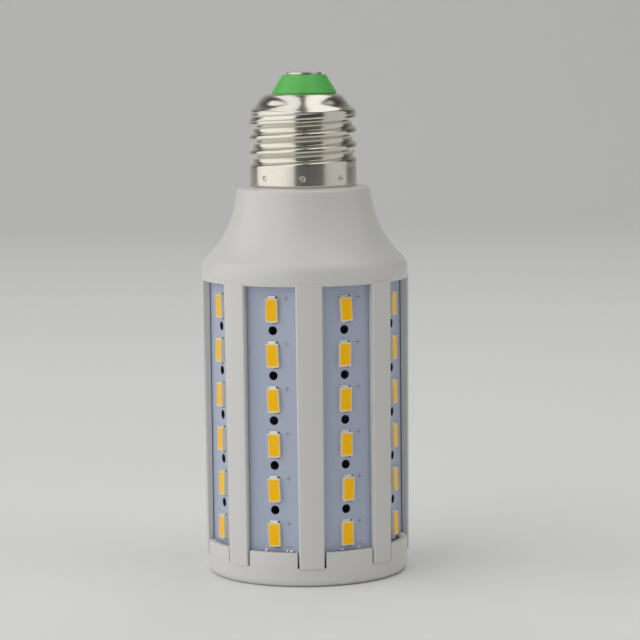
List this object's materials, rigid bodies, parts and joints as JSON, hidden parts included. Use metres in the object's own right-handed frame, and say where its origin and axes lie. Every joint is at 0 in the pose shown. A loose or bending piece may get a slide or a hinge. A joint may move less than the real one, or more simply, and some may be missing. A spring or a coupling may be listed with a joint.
{
  "type": "corn led bulb",
  "caption": "Corn LED bulb with a screw cap: boards of yellow LEDs stand between the white ribs of a moulding whose neck flares into the collar, closed by an end cap.",
  "frame": {"origin": "centre of the flat ring under the end cap, on which the bulb stands", "axes": "+Z along the bulb's axis towards the screw cap, -Y towards the rib that faces the viewer in the picture"},
  "size_m": [0.0506, 0.0506, 0.1218],
  "materials": {
    "shell_metal": "rolled sheet, bright nickel plate",
    "white_moulding": "moulded white plastic, satin gloss",
    "green_insulator": "moulded green plastic, gloss",
    "contact_metal": "tinned disc, satin",
    "board_mask": "white solder mask on an aluminium board",
    "led_package": "moulded white package",
    "led_phosphor": "yellow phosphor in clear silicone",
    "tinned_copper": "tinned copper strip",
    "driver_laminate": "green laminate",
    "film_case": "dipped brown case",
    "can_sleeve": "black sleeve",
    "black_epoxy": "black epoxy",
    "ferrite": "ferrite, matt",
    "resistor_coat": "green-grey coat",
    "lead_sleeve": "white sleeve"
  },
  "bodies": {
    "root": {"screw_shell": "shell_metal", "cap_insulator": "green_insulator", "centre_contact": "contact_metal", "lamp_frame": "white_moulding", "end_cap": "white_moulding", "end_board": "board_mask", "end_led_housings": "led_package", "end_led_phosphor": "led_phosphor", "board_jumpers": "tinned_copper", "driver_board": "driver_laminate", "film_capacitor": "film_case", "electrolytic_capacitor": "can_sleeve", "bridge_rectifier": "black_epoxy", "drive_chip": "black_epoxy", "power_choke": "ferrite", "fuse_resistor": "resistor_coat", "live_lead": "lead_sleeve", "neutral_lead": "lead_sleeve", "led_lead_positive": "lead_sleeve", "led_lead_negative": "lead_sleeve", "led_board_1": "board_mask", "led_housings_1": "led_package", "led_phosphor_1": "led_phosphor", "led_board_2": "board_mask", "led_housings_2": "led_package", "led_phosphor_2": "led_phosphor", "led_board_3": "board_mask", "led_housings_3": "led_package", "led_phosphor_3": "led_phosphor", "led_board_4": "board_mask", "led_housings_4": "led_package", "led_phosphor_4": "led_phosphor", "led_board_5": "board_mask", "led_housings_5": "led_package", "led_phosphor_5": "led_phosphor", "led_board_6": "board_mask", "led_housings_6": "led_package", "led_phosphor_6": "led_phosphor", "led_board_7": "board_mask", "led_housings_7": "led_package", "led_phosphor_7": "led_phosphor", "led_board_8": "board_mask", "led_housings_8": "led_package", "led_phosphor_8": "led_phosphor"}
  },
  "joints": []
}
